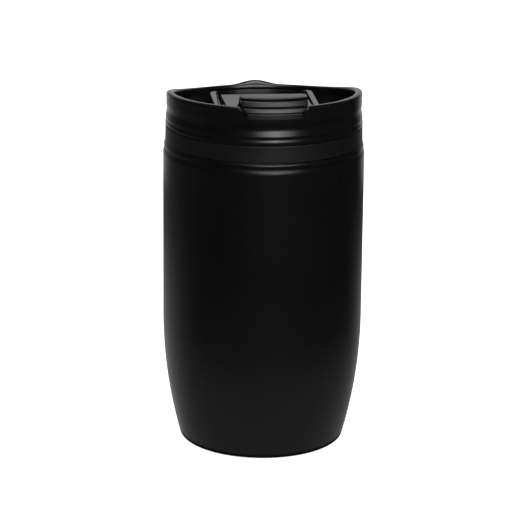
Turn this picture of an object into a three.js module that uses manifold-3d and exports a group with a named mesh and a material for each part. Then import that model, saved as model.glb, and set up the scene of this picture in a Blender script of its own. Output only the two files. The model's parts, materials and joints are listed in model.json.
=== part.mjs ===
// Insulated tumbler with a screw lid and a flip-up drinking lever.
// Millimetres, +Z up. The origin is the middle of the foot, on the table. The thumb tab points to -Y.
import * as THREE from "three";
import { mergeVertices } from "three/addons/utils/BufferGeometryUtils.js";
import Module from "manifold-3d";

const wasm = await Module();
wasm.setup();

// ---------------------------------------------------------------- driving dimensions
const fit = 0.3; // gap kept between two pieces that touch
const around = 48; // facets round the large turned pieces
const aroundSmall = 20; // facets round pins, posts and stoppers

// Steel body
const bodyRadius = 42.5; // outside, just under the groove
const bodyHeight = 130.5; // table to the top of the rolled bead
const curveStart = 55; // height below which the side curves in
const curveRadius = 201; // radius of that curve
const cornerRadius = 1.65; // between the side and the underside
const shellWall = 0.6;
const beadHeight = 2.7; // rolled bead over the groove
const beadInset = 0.4; // bead radius under the body radius
const grooveDepth = 0.75;
const grooveWidth = 0.6;
const shoulderSoft = 3.2; // height over which the side eases in to the groove
const shellRaise = 0.3; // underside of the steel over the table
const footOpening = 31; // radius of the opening in the underside

// Foot
const padThickness = 1.1;
const plateThickness = 1;
const plateLap = 2.3; // how far the base plate reaches over the turned-in lip

// Steel liner
const linerWall = 0.6;
const insulationGap = 4; // air gap between shell and liner
const linerFloor = 7; // underside of the liner over the table
const linerCorner = 11;
const neckDepth = 9; // depth of the widened neck under the bead's top
const neckWall = 0.6;

// Collar pressed into the neck
const collarHeight = 7.3; // band seen between bead and lid
const collarInset = 1.15; // band radius under the body radius
const collarFlare = 0.3; // extra radius at the band's lower edge
const spigotWall = 1.2;
const sealThickness = 0.9;

// Thread between collar and lid
const threadPitch = 4;
const threadTurns = 1.25;
const threadLap = 0.7; // radial overlap of the two ridges
const threadClearance = 0.4; // from a ridge to the wall that faces it
const threadBase = 1.7; // ridge height at the wall
const threadCrest = 0.9; // ridge height at its tip
const threadRise = 4; // start of the lid's ridge over the neck's shoulder

// Lid
const lidHeight = 15.6; // collar top to the front of the rim
const rearDrop = 7.7; // how much lower the rim is at the back
const rimLean = 2.4; // part of the drop that is an even slope from front to back
const rampStart = -6; // y where the steeper part of the fall starts
const rampInset = 1; // end of the fall, in from the rim's outside
const rimWidth = 3.1;
const lidInset = 1.35; // lid wall radius under the body radius
const flangeSwell = 0.45; // swelling at the lid's lower edge
const flangeHeight = 3.8;
const flangeSlope = 3.2; // height over which the swelling fades
const catchHeight = 1.8; // bump on the rim's outer edge that holds the open lever
const catchWidth = 22;
const notchDepth = 1.5; // in the rim, under the tab
const notchHalfWidth = 15;
const notchSlope = 1.5; // how far each side of the notch leans out
const seamHeight = 5.4; // seam between rim and lid body over the collar's top
const seamLap = 1.4;
const deckDepth = 4.6; // deck under the collar's top
const deckThickness = 2.2;
const funnelDrop = 2.6; // inner wall narrows to the plug over this height
const plugWall = 1.9;
const noseDrop = 4.3; // how far the plug reaches under the neck's shoulder
const noseInset = 1.8;
const gasketHeight = 2.5;
const gasketBand = 1.4;

// Hinge and cheeks
const pivotY = 7.5;
const pivotDrop = 10.6; // pivot under the front of the rim
const pinRadius = 1.5;
const pinClearance = 0.3;
const cheekInner = 18.9;
const cheekThickness = 2.8;
const cheekRear = 15.2;
const cheekDrop = 5.2; // cheek tops under the front of the rim
const cheekHook = 0.6;
const cheekGap = 1.2; // lever to cheek, each side

// Drink spout and vent under the lever
const spoutSetback = 12.5; // spout axis in from the rim's inside
const spoutRadius = 8;
const spoutBore = 5.2;
const ventY = -8;
const ventRadius = 3;
const ventBore = 1.5;
const spoutDrop = 12.2; // spout top under the front of the rim

// Lever
const plateThick = 2.4;
const plateRear = 8.5;
const plateRise = 2; // the plate climbs this much from its rear edge to its bend
const plateBend = -22;
const tabHalfWidth = 13.5;
const tabHalfWidthLow = 10.7;
const tabHeight = 4.2; // tab top over the rim
const tabDepth = 8.4; // flat top of the tab, front to back
const tabReach = 3.4; // lowest rib over the lid wall
const tabGap = 0.6; // flap to lid wall
const tabDrop = 4.3; // flap's lower edge under the rim
const ribStep = 0.35; // each rib stands out this much more than the one above
const ribGroove = 0.7;
const barrelRadius = 2.8;
const carrierHalfWidth = 9;
const stopperFlange = 7;
const stopperFlangeThick = 1.6;
const stopperDepth = 2.2;
const stopperTaper = 0.7;
const ventNubDepth = 1.2;

// ---------------------------------------------------------------- places that follow from them
const groovePlace = bodyHeight - beadHeight;
const shoulderZ = bodyHeight - neckDepth;
const collarBottomOfBand = bodyHeight + fit;
const collarTop = collarBottomOfBand + collarHeight - fit;
const rimFront = collarTop + fit + lidHeight;
const lidBottom = collarTop + fit;
const seamZ = collarTop + seamHeight;
const lidRadius = bodyRadius - lidInset;
const recessRadius = lidRadius - rimWidth;
const neckOuter = bodyRadius - shellWall - 2 * fit - 0.2;
const neckInner = neckOuter - neckWall;
const spigotOuter = neckInner - fit;
const collarBore = spigotOuter - spigotWall;
const plugRadius = collarBore - 2 * threadClearance - threadLap;
const linerInner = bodyRadius - shellWall - insulationGap - linerWall;
const noseRadius = linerInner - noseInset - fit;
const deckTop = collarTop - deckDepth;
const deckRadius = plugRadius - plugWall;
const noseBottom = shoulderZ - noseDrop;
const pivotZ = rimFront - pivotDrop;
const cheekTop = rimFront - cheekDrop;
const cheekOuter = cheekInner + cheekThickness;
const leverHalfWidth = cheekInner - cheekGap;
const spoutY = -(recessRadius - spoutSetback);
const spoutTop = rimFront - spoutDrop;
const tabTop = rimFront + tabHeight;
const tabBottom = rimFront - tabDrop;
const carrierBottom = spoutTop + fit + stopperFlangeThick + fit;

// ---------------------------------------------------------------- solids
// A closed three.js geometry as a manifold-3d solid.
function solid(geometry) {
  const bare = geometry.clone();
  bare.deleteAttribute("normal");
  bare.deleteAttribute("uv");
  const merged = mergeVertices(bare, 1e-4);
  return new wasm.Manifold(
    new wasm.Mesh({
      numProp: 3,
      vertProperties: merged.attributes.position.array,
      triVerts: new Uint32Array(merged.index.array),
    }),
  );
}

// A manifold-3d solid as a named mesh with its own material.
function meshOf(name, made, material) {
  const mesh = made.getMesh();
  const geometry = new THREE.BufferGeometry();
  geometry.setAttribute("position", new THREE.BufferAttribute(new Float32Array(mesh.vertProperties), 3));
  geometry.setIndex(new THREE.BufferAttribute(new Uint32Array(mesh.triVerts), 1));
  geometry.computeVertexNormals();
  const piece = new THREE.Mesh(geometry, material);
  piece.name = name;
  return piece;
}

// Points of a circular arc in a profile, from angle a to angle b in degrees.
function arc(centreR, centreZ, radius, a, b, steps) {
  const points = [];
  for (let i = 0; i <= steps; i++) {
    const angle = THREE.MathUtils.degToRad(a + ((b - a) * i) / steps);
    points.push([centreR + radius * Math.cos(angle), centreZ + radius * Math.sin(angle)]);
  }
  return points;
}

// Twice the signed area between a profile and the axis, positive when it runs counter-clockwise.
function turning(profile) {
  return profile.reduce((sum, [r, z], i) => {
    const [nextR, nextZ] = profile[(i + 1) % profile.length];
    return sum + r * nextZ - nextR * z;
  }, 0);
}

// A profile of [radius, height] turned about +Z. It starts and ends on the axis, or is closed on itself.
function turnedGeometry(profile, facets) {
  const outline = turning(profile) > 0 ? profile : [...profile].reverse();
  const onAxis = outline.some(([r]) => r === 0);
  const start = onAxis ? outline.findIndex(([r], i) => r === 0 && outline.at(i - 1)[0] === 0) : 0;
  const ordered = [...outline.slice(start), ...outline.slice(0, start)];
  const points = ordered.map(([r, z]) => new THREE.Vector2(r, z));
  if (!onAxis) points.push(points[0].clone());
  return new THREE.LatheGeometry(points, facets).rotateX(Math.PI / 2);
}

function turned(profile, facets = around) {
  return solid(turnedGeometry(profile, facets));
}

// A plan outline of [x, y] raised from height low to height high.
function raised(outline, low, high) {
  const shape = new THREE.Shape(outline.map(([x, y]) => new THREE.Vector2(x, y)));
  const geometry = new THREE.ExtrudeGeometry(shape, { depth: high - low, bevelEnabled: false });
  return solid(geometry.translate(0, 0, low));
}

// A side outline of [y, z] drawn out along X, as wide as two half widths.
function sideways(outline, halfWidth) {
  const shape = new THREE.Shape(outline.map(([y, z]) => new THREE.Vector2(y, z)));
  const geometry = new THREE.ExtrudeGeometry(shape, { depth: 2 * halfWidth, bevelEnabled: false });
  geometry.translate(0, 0, -halfWidth);
  // The drawing plane's axes become +Y and +Z, and its normal becomes +X.
  geometry.applyMatrix4(new THREE.Matrix4().makeBasis(
    new THREE.Vector3(0, 1, 0),
    new THREE.Vector3(0, 0, 1),
    new THREE.Vector3(1, 0, 0),
  ));
  return solid(geometry);
}

// A front outline of [x, z] drawn out along Y.
function lengthways(outline, front, back) {
  const shape = new THREE.Shape(outline.map(([x, z]) => new THREE.Vector2(x, z)));
  const geometry = new THREE.ExtrudeGeometry(shape, { depth: back - front, bevelEnabled: false });
  // The drawing plane's axes become +X and +Z, and its normal becomes -Y.
  geometry.applyMatrix4(new THREE.Matrix4().makeBasis(
    new THREE.Vector3(1, 0, 0),
    new THREE.Vector3(0, 0, 1),
    new THREE.Vector3(0, -1, 0),
  ));
  return solid(geometry.translate(0, back, 0));
}

// A round bar along X through the pivot.
function pivotBar(radius, halfLength) {
  const geometry = new THREE.CylinderGeometry(radius, radius, 2 * halfLength, aroundSmall);
  return solid(geometry.rotateZ(Math.PI / 2).translate(0, pivotY, pivotZ));
}

// A round post along Z.
function post(y, radiusTop, radiusBottom, low, high) {
  const geometry = new THREE.CylinderGeometry(radiusTop, radiusBottom, high - low, aroundSmall);
  return solid(geometry.rotateX(Math.PI / 2).translate(0, y, (low + high) / 2));
}

// A thread ridge: a straight tapered bar bent round the axis into a helix.
// It stands out from radius wall to radius crest, and both its ends fade into the wall.
// Its steps fall between the wall's facet edges, so that the two surfaces cross cleanly, and the
// section's height is mirrored on an outward ridge, so that its faces still point out.
function ridge(wall, crest, startZ) {
  const steps = Math.round(around * threadTurns);
  const side = Math.sign(crest - wall); // +1 when the ridge stands outwards
  const sunk = wall - side * fit; // foot of the ridge, inside the wall
  const shape = new THREE.Shape([
    new THREE.Vector2(0, -threadBase / 2),
    new THREE.Vector2(1, -threadCrest / 2),
    new THREE.Vector2(1, threadCrest / 2),
    new THREE.Vector2(0, threadBase / 2),
  ]);
  const geometry = new THREE.ExtrudeGeometry(shape, { depth: 1, steps, bevelEnabled: false });
  const place = geometry.attributes.position;
  for (let i = 0; i < place.count; i++) {
    const along = place.getZ(i);
    const fade = Math.min(1, 0.35 + along * 8, 0.35 + (1 - along) * 8);
    const radius = sunk + (crest - sunk) * place.getX(i) * fade;
    const angle = along * threadTurns * 2 * Math.PI + Math.PI / around;
    const height = startZ - side * place.getY(i) + along * threadTurns * threadPitch;
    place.setXYZ(i, radius * Math.cos(angle), radius * Math.sin(angle), height);
  }
  return solid(geometry);
}

// ---------------------------------------------------------------- body
// Outside radius of the steel body at a height.
function sideRadius(z) {
  if (z >= curveStart) return bodyRadius;
  return bodyRadius - curveRadius + Math.sqrt(curveRadius ** 2 - (curveStart - z) ** 2);
}

// Points up the side, moved in by an offset, from one height to another.
function sidePoints(inset, low, high, steps) {
  return Array.from({ length: steps + 1 }, (_, i) => {
    const z = low + ((high - low) * i) / steps;
    return [sideRadius(z) - inset, z];
  });
}

// Where the rounded bottom edge meets the side, and the middle of its radius.
function bottomEdge() {
  const centreZ = shellRaise + cornerRadius;
  const middleR = bodyRadius - curveRadius;
  const rise = curveStart - centreZ;
  const centreR = middleR + Math.sqrt((curveRadius - cornerRadius) ** 2 - rise ** 2);
  const slope = THREE.MathUtils.radToDeg(Math.atan2(rise, centreR - middleR));
  return { centreR, centreZ, slope };
}

function outerShell() {
  const edge = bottomEdge();
  const bead = bodyRadius - beadInset;
  const inside = bodyRadius - grooveDepth - 0.45;
  const edgeTop = edge.centreZ - cornerRadius * Math.sin(THREE.MathUtils.degToRad(edge.slope));
  const outside = [
    [footOpening, shellRaise],
    ...arc(edge.centreR, edge.centreZ, cornerRadius, -90, -edge.slope, 4),
    ...sidePoints(0, edgeTop + 4, curveStart, 5),
    [bodyRadius, groovePlace - shoulderSoft],
    [bodyRadius - grooveDepth / 6, groovePlace - shoulderSoft / 3],
    [bodyRadius - grooveDepth / 2, groovePlace - shoulderSoft / 12],
    [bodyRadius - grooveDepth, groovePlace],
    [bodyRadius - grooveDepth, groovePlace + grooveWidth / 2],
    [bead - 0.05, groovePlace + grooveWidth],
    [bead, groovePlace + beadHeight / 2],
    [bead - 0.1, bodyHeight - 0.6],
    [bead - 0.5, bodyHeight],
  ];
  const hollow = [
    [inside, bodyHeight],
    [inside, groovePlace - 2],
    [bodyRadius - shellWall, groovePlace - shoulderSoft - 2],
    ...sidePoints(shellWall, 5, curveStart, 4).reverse(),
    [edge.centreR, shellRaise + shellWall],
    [footOpening, shellRaise + shellWall],
  ];
  return turned([...outside, ...hollow]);
}

function basePlate() {
  const radius = footOpening + plateLap;
  const low = shellRaise + shellWall + fit;
  return turned([[0, low], [radius, low], [radius, low + plateThickness], [0, low + plateThickness]]);
}

function footPad() {
  const radius = footOpening - fit;
  const edge = 0.4;
  return turned([
    [0, 0],
    [radius - edge, 0],
    [radius, edge],
    [radius, padThickness],
    [0, padThickness],
  ]);
}

function innerLiner() {
  const outset = shellWall + insulationGap;
  const inset = outset + linerWall;
  const floorIn = linerFloor + linerWall;
  const bendIn = floorIn + linerCorner;
  const cornerIn = linerCorner - linerWall;
  const wallBottom = sideRadius(bendIn) - inset;
  const outside = [
    [0, linerFloor],
    ...arc(wallBottom + linerWall - linerCorner, linerFloor + linerCorner, linerCorner, -90, -8, 4),
    ...sidePoints(outset, bendIn + 2, curveStart, 3),
    [linerInner + linerWall, shoulderZ - linerWall - 1],
    [linerInner + linerWall + 0.8, shoulderZ - linerWall],
    [neckOuter - 0.5, shoulderZ - linerWall],
    [neckOuter, shoulderZ],
    [neckOuter, bodyHeight - fit],
  ];
  const hollow = [
    [neckInner, bodyHeight - fit],
    [neckInner, shoulderZ],
    [linerInner + 0.8, shoulderZ],
    [linerInner, shoulderZ - 1],
    ...sidePoints(inset, bendIn + 2, curveStart, 3).reverse(),
    ...arc(wallBottom - cornerIn, floorIn + cornerIn, cornerIn, -8, -90, 4),
    [0, floorIn],
  ];
  return turned([...outside, ...hollow]);
}

function collarSeal() {
  const low = shoulderZ + fit;
  const inner = collarBore;
  return turned([
    [inner, low],
    [spigotOuter, low],
    [spigotOuter, low + sealThickness],
    [inner, low + sealThickness],
  ]);
}

// Ridge radii that both sides of the thread share.
const lidCrest = plugRadius + threadClearance + threadLap;
const collarCrest = plugRadius + threadClearance;
const lidRidgeZ = shoulderZ + threadRise;

function collarRing() {
  const band = bodyRadius - collarInset;
  const bottom = shoulderZ + sealThickness + 2 * fit;
  const ring = turned([
    [collarBore, bottom],
    [spigotOuter, bottom],
    [spigotOuter, collarBottomOfBand],
    [band + collarFlare - 0.2, collarBottomOfBand],
    [band + collarFlare, collarBottomOfBand + 0.4],
    [band, collarBottomOfBand + 1.6],
    [band, collarTop - 0.4],
    [band - 0.4, collarTop],
    [collarBore + 0.5, collarTop],
    [collarBore, collarTop - 0.5],
  ]);
  return ring.add(ridge(collarBore, collarCrest, lidRidgeZ + threadPitch / 2));
}

// ---------------------------------------------------------------- lid
// How far the rim's top is under its front at a place in plan: an even slope, and a steeper fall behind.
function rimFall(y) {
  const even = (y + lidRadius) / (2 * lidRadius);
  const steep = THREE.MathUtils.smoothstep(y, rampStart, lidRadius - rampInset);
  return rimLean * even + (rearDrop - rimLean) * steep;
}

// Height of the catch, which rises from nothing at the rim's inside to its full height outside.
function catchRise(x, y) {
  if (Math.abs(x) > catchWidth / 2 || y < 0) return 0;
  const outward = THREE.MathUtils.clamp((Math.hypot(x, y) - recessRadius) / rimWidth, 0, 1);
  return catchHeight * outward * 0.5 * (1 + Math.cos((2 * Math.PI * x) / catchWidth));
}

// The ring is turned at its front height. Its rounded top then moves down whole to the rim's height at
// each place, and the wall between the seam and the rounding is pressed together under it.
function lidShell() {
  const seat = recessRadius + seamLap;
  const rounding = rimWidth / 2;
  const flange = lidRadius + flangeSwell;
  const geometry = turnedGeometry([
    [seat, lidBottom],
    [flange - 0.5, lidBottom],
    [flange, lidBottom + 0.5],
    [flange, lidBottom + flangeHeight],
    [lidRadius + 0.1, lidBottom + flangeHeight + flangeSlope],
    [lidRadius, lidBottom + flangeHeight + 2 * flangeSlope],
    ...arc(lidRadius - rounding, rimFront - rounding, rounding, 0, 180, 6),
    [recessRadius, seamZ + fit],
    [seat, seamZ + fit],
  ], around);
  const fixed = seamZ + 2 * fit;
  const whole = rimFront - rounding - fit;
  const place = geometry.attributes.position;
  for (let i = 0; i < place.count; i++) {
    const z = place.getZ(i);
    if (z <= fixed) continue;
    const x = place.getX(i);
    const y = place.getY(i);
    const reach = lidRadius / Math.hypot(x, y);
    const share = Math.min(1, (z - fixed) / (whole - fixed));
    place.setZ(i, z - share * (rimFall(y * reach) - catchRise(x, y)));
  }
  const low = rimFront - notchDepth;
  const notch = lengthways([
    [-notchHalfWidth + notchSlope, low],
    [notchHalfWidth - notchSlope, low],
    [notchHalfWidth, rimFront + 1],
    [-notchHalfWidth, rimFront + 1],
  ], -lidRadius - 2, -lidRadius / 2);
  return solid(geometry).subtract(notch);
}

// Plan outline of one cheek, on the +X side: a straight wall whose rear end curls in a little.
function cheekOutline(side) {
  const bend = cheekRear - 1.9;
  return [
    [cheekInner, -recessRadius],
    [cheekOuter, -recessRadius],
    [cheekOuter, bend - 1],
    [cheekOuter - 1, cheekRear - 0.9],
    [cheekOuter - 2.2, cheekRear],
    [cheekInner, cheekRear - 0.1],
    [cheekInner - cheekHook, cheekRear - 0.7],
    [cheekInner - cheekHook, bend + 0.4],
    [cheekInner, bend],
  ].map(([x, y]) => [side * x, y]);
}

function lidBody() {
  const wall = recessRadius + seamLap - fit;
  const inner = deckRadius;
  const deckBottom = deckTop - deckThickness;
  const noseInner = noseRadius - plugWall;
  const gasketLow = noseBottom + 1.2;
  const gasketHigh = gasketLow + gasketHeight + 2 * fit;
  const funnelTop = deckTop + 6;
  const bowl = turned([
    [0, deckBottom],
    [inner - 1, deckBottom],
    [inner, deckBottom - 1],
    [inner, shoulderZ + 3.5],
    [noseInner, shoulderZ + 2.2],
    [noseInner, noseBottom],
    [noseRadius + gasketBand - fit, noseBottom],
    [noseRadius + gasketBand - fit, gasketLow],
    [noseRadius, gasketLow],
    [noseRadius, gasketHigh],
    [noseRadius + gasketBand, gasketHigh],
    [plugRadius, gasketHigh + 1.2],
    [plugRadius, lidBottom],
    [wall, lidBottom],
    [wall, seamZ],
    [recessRadius, seamZ],
    [recessRadius, funnelTop + funnelDrop],
    [recessRadius - 0.8, funnelTop + 0.4],
    [inner + 0.3, funnelTop - funnelDrop],
    [inner, deckTop + 1],
    [inner - 1, deckTop],
    [0, deckTop],
  ]);
  const insideRim = turned([
    [0, deckTop - 1],
    [recessRadius - 2 * fit, deckTop - 1],
    [recessRadius - 2 * fit, cheekTop + 1],
    [0, cheekTop + 1],
  ]);
  const sunk = deckTop - 1;
  const cheeks = [1, -1].map((side) => raised(cheekOutline(side), sunk, cheekTop));
  const kept = cheeks.map((cheek) => cheek.intersect(insideRim));
  const spout = post(spoutY, spoutRadius, spoutRadius, sunk, spoutTop);
  const vent = post(ventY, ventRadius, ventRadius, sunk, spoutTop);
  const through = deckBottom - 1;
  const over = spoutTop + 1;
  return kept
    .concat([spout, vent, ridge(plugRadius, lidCrest, lidRidgeZ)])
    .reduce((sum, piece) => sum.add(piece), bowl)
    .subtract(post(spoutY, spoutBore, spoutBore, through, over))
    .subtract(post(ventY, ventBore, ventBore, through, over))
    .subtract(pivotBar(pinRadius + pinClearance, cheekOuter - 0.6));
}

function lidGasket() {
  const low = noseBottom + 1.2 + fit;
  const inner = noseRadius + fit;
  const outer = linerInner - fit;
  const high = low + gasketHeight;
  return turned([
    [inner, low],
    [outer - 0.9, low],
    [outer, low + 0.5],
    [outer - 0.7, low + gasketHeight / 2],
    [outer, high - 0.5],
    [outer - 0.9, high],
    [inner, high],
  ]);
}

// ---------------------------------------------------------------- lever
// Height of the plate's top at a place along Y: a straight climb from its rear edge.
function plateTop(y) {
  return cheekTop + (plateRise * (plateRear - y)) / (plateRear - plateBend);
}

// The tab: a turned band that wraps the rim, ribbed on its face, trimmed to the tab's narrowing front shape.
function thumbTab() {
  const faceLow = lidRadius + tabReach;
  const flapInner = lidRadius + tabGap;
  const tabRear = lidRadius + 1 - tabDepth;
  const ribHeight = (tabTop - tabBottom) / 3.4;
  const underside = rimFront - notchDepth + 2 * fit + 0.3;
  const ribs = [];
  for (let i = 0; i < 3; i++) {
    const face = faceLow - i * ribStep;
    const low = tabBottom + i * ribHeight;
    const high = low + ribHeight - ribGroove;
    ribs.push([face, low + (i ? 0 : 0.4)], [face, high]);
    ribs.push([face - ribGroove, high + 0.2], [face - ribGroove, high + ribGroove - 0.1]);
  }
  const band = turned([
    [tabRear, underside],
    [flapInner, underside],
    [flapInner, tabBottom],
    [faceLow - 0.4, tabBottom],
    ...ribs,
    [lidRadius + 1.4, tabTop - 0.5],
    [lidRadius + 0.8, tabTop],
    [tabRear, tabTop],
  ]);
  const front = lengthways([
    [-tabHalfWidthLow, tabBottom - 1],
    [tabHalfWidthLow, tabBottom - 1],
    [tabHalfWidth, tabTop - 3],
    [tabHalfWidth - 0.5, tabTop + 1],
    [-tabHalfWidth + 0.5, tabTop + 1],
    [-tabHalfWidth, tabTop - 3],
  ], -lidRadius - 2 * tabReach, 0);
  return band.intersect(front);
}

function leverCover() {
  const plateFront = -(recessRadius - 8.6);
  const riserBack = plateBend - 2;
  const riserFront = -(lidRadius + 1 - tabDepth) - 1.5;
  const plate = sideways([
    [plateRear, plateTop(plateRear) - plateThick],
    [plateRear, plateTop(plateRear) - 0.5],
    [plateRear - 0.5, plateTop(plateRear)],
    [plateFront, plateTop(plateFront)],
    [plateFront, plateTop(plateFront) - plateThick],
  ], leverHalfWidth);
  const riser = sideways([
    [riserBack, plateTop(riserBack) - plateThick],
    [riserBack, plateTop(riserBack)],
    [riserBack - 3, plateTop(riserBack) + 1],
    [riserFront + 3, tabTop - 1.5],
    [riserFront, tabTop],
    [riserFront, tabTop - 4],
    [plateFront, plateTop(plateFront) - plateThick],
  ], tabHalfWidth - 0.5);
  return plate.add(riser).add(thumbTab());
}

function leverCarrier() {
  const front = -(recessRadius - 6);
  const top = (y) => plateTop(y) - plateThick - fit;
  const beam = sideways([
    [pivotY - 1, carrierBottom],
    [pivotY - 1, top(pivotY - 1)],
    [front, top(front)],
    [front, carrierBottom],
  ], carrierHalfWidth);
  const nubSocket = post(ventY, ventRadius - 1, ventRadius - 1, spoutTop + 2 * fit + 1, carrierBottom + 1);
  return beam
    .add(pivotBar(barrelRadius, leverHalfWidth))
    .add(nubSocket)
    .subtract(pivotBar(pinRadius + pinClearance, leverHalfWidth + 1));
}

function drinkStopper() {
  const low = spoutTop + fit;
  const plug = spoutBore - fit;
  const flange = turned([
    [0, low - stopperDepth],
    [plug - stopperTaper, low - stopperDepth],
    [plug, low],
    [stopperFlange, low],
    [stopperFlange, low + stopperFlangeThick - 0.4],
    [stopperFlange - 0.4, low + stopperFlangeThick],
    [0, low + stopperFlangeThick],
  ], aroundSmall);
  return flange.translate([0, spoutY, 0]);
}

function ventStopper() {
  const low = spoutTop + fit;
  const nub = ventBore - 2 * fit;
  const cap = turned([
    [0, low - ventNubDepth],
    [nub - 0.2, low - ventNubDepth],
    [nub, low],
    [ventRadius, low],
    [ventRadius, low + 1],
    [0, low + 1],
  ], aroundSmall);
  return cap.translate([0, ventY, 0]);
}

// ---------------------------------------------------------------- assembly
const paint = { color: 0x161617, roughness: 0.5, metalness: 0.0 };
const steel = { color: 0xb9bbbd, roughness: 0.28, metalness: 1.0 };
const matte = { color: 0x1b1b1c, roughness: 0.65, metalness: 0.0 };
const gloss = { color: 0x121213, roughness: 0.3, metalness: 0.0 };
const silicone = { color: 0x1f1f20, roughness: 0.8, metalness: 0.0 };

const pieces = [
  ["outer_shell", outerShell, paint],
  ["inner_liner", innerLiner, steel],
  ["collar_ring", collarRing, matte],
  ["collar_seal", collarSeal, silicone],
  ["base_plate", basePlate, steel],
  ["foot_pad", footPad, silicone],
  ["lid_shell", lidShell, gloss],
  ["lid_body", lidBody, gloss],
  ["lid_gasket", lidGasket, silicone],
  ["hinge_pin", () => pivotBar(pinRadius, cheekOuter - 1), steel],
  ["lever_cover", leverCover, matte],
  ["lever_carrier", leverCarrier, matte],
  ["drink_stopper", drinkStopper, silicone],
  ["vent_stopper", ventStopper, silicone],
];

const tumbler = new THREE.Group();
for (const [name, make, look] of pieces) {
  tumbler.add(meshOf(name, make(), new THREE.MeshStandardMaterial(look)));
}

export default tumbler;
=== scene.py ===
# %% [markdown]
# # A black insulated tumbler
#
# A double-walled steel cup with a screw lid. A flat lever lies in the lid's recess between two
# straight cheeks, and its ribbed thumb tab hooks over the front of the rim. Nearly everything is
# round, so most pieces are one outline turned about the axis, and the few straight ones are one
# outline drawn along a line. Both are worked out here as numpy grids.

# %% Load the frame
import json
import math

import bmesh
import bpy
import numpy as np
from mathutils import Matrix, Vector


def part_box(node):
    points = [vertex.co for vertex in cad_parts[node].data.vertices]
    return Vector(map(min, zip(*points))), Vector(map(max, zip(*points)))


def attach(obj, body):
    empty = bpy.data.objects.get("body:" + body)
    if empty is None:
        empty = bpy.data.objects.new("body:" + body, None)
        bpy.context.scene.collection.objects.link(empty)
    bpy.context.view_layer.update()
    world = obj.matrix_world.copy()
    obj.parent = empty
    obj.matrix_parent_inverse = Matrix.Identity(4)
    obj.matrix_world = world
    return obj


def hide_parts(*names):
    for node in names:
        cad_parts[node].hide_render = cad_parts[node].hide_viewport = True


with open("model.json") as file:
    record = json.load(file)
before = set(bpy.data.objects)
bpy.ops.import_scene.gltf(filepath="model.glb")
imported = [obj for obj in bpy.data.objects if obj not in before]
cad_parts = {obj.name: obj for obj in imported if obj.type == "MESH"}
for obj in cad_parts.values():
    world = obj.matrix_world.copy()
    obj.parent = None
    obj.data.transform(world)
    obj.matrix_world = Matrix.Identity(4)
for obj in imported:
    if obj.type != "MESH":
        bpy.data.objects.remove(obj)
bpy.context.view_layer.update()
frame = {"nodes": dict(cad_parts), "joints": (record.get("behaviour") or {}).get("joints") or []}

MM = 0.001

# %% [markdown]
# ## Sizes
#
# The design decides every size, so the main ones are read back from the boxes of its nodes, in
# millimetres. Only small things that the eye reads, such as how soft an edge is, are set here.

# %% Read the design's sizes
def span(node):
    """Half width in X, lowest Z and highest Z of a design node, in millimetres."""
    low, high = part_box(node)
    return (high.x - low.x) / 2 / MM, low.z / MM, high.z / MM


BODY_R, SHELL_LOW, BEAD_TOP = span("outer_shell")
COLLAR_R, COLLAR_LOW, COLLAR_TOP = span("collar_ring")
LID_R, LID_LOW, _ = span("lid_shell")
INNER_R, PLUG_LOW, CHEEK_TOP = span("lid_body")
LINER_NECK_R, LINER_LOW, LINER_TOP = span("inner_liner")
PAD_R, PAD_LOW, PAD_TOP = span("foot_pad")
COVER_HALF, _, TAB_TOP = span("lever_cover")
COVER_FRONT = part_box("lever_cover")[0].y / MM
COVER_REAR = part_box("lever_cover")[1].y / MM
joints = {j["name"]: j for j in frame["joints"]}
PIVOT_Y, PIVOT_Z = (c / MM for c in joints["lever_flip"]["pos_m"][1:])
print(f"body {2 * BODY_R:.1f} across, tab top at {TAB_TOP:.1f}, pivot at {PIVOT_Y:.1f}, {PIVOT_Z:.1f}")

# %% [markdown]
# ## Helpers for outlines and surfaces
#
# An outline is a short list of corners. Real edges are never perfectly sharp, so each corner is cut
# back by its own small distance and bridged by a curve. Two holding points sit just outside each
# rounding, which keeps flat faces flat when the surface is shaded smooth.

# %% Round the corners of an outline
def rounded(corners, closed=True, steps=7):
    """Corners are rows of a, b, cut. Each is replaced by the curve
    (1-t)^2 A + 2t(1-t) P + t^2 C, where A and C lie the cut back along its two sides."""
    rows = np.array(corners, float)
    point, cut = rows[:, :2], rows[:, 2]
    before, after = np.roll(point, 1, 0) - point, np.roll(point, -1, 0) - point
    if not closed:
        before[0] = after[-1] = 0
    length_b = np.maximum(np.linalg.norm(before, axis=1), 1e-9)
    length_a = np.maximum(np.linalg.norm(after, axis=1), 1e-9)
    cut = np.minimum(cut, 0.49 * np.minimum(length_b, length_a))
    start = point + before * (cut / length_b)[:, None]
    end = point + after * (cut / length_a)[:, None]
    t = np.linspace(0, 1, steps)[None, :, None]
    curve = (1 - t) ** 2 * start[:, None] + 2 * t * (1 - t) * point[:, None] + t**2 * end[:, None]
    hold = 0.2 * cut[:, None]
    first = start + before / length_b[:, None] * np.minimum(hold, 0.01 * length_b[:, None])
    last = end + after / length_a[:, None] * np.minimum(hold, 0.01 * length_a[:, None])
    line = np.concatenate([first[:, None], curve, last[:, None]], axis=1).reshape(-1, 2)
    step = np.linalg.norm(np.diff(line, axis=0, prepend=line[-1:] if closed else line[:1] - 1), axis=1)
    return line[step > 1e-6]


# %% [markdown]
# A grid of points becomes a skin of quads. Rows or columns can close on themselves, and an end row
# that has shrunk to one point is merged there, so that every piece is a closed solid.

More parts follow.
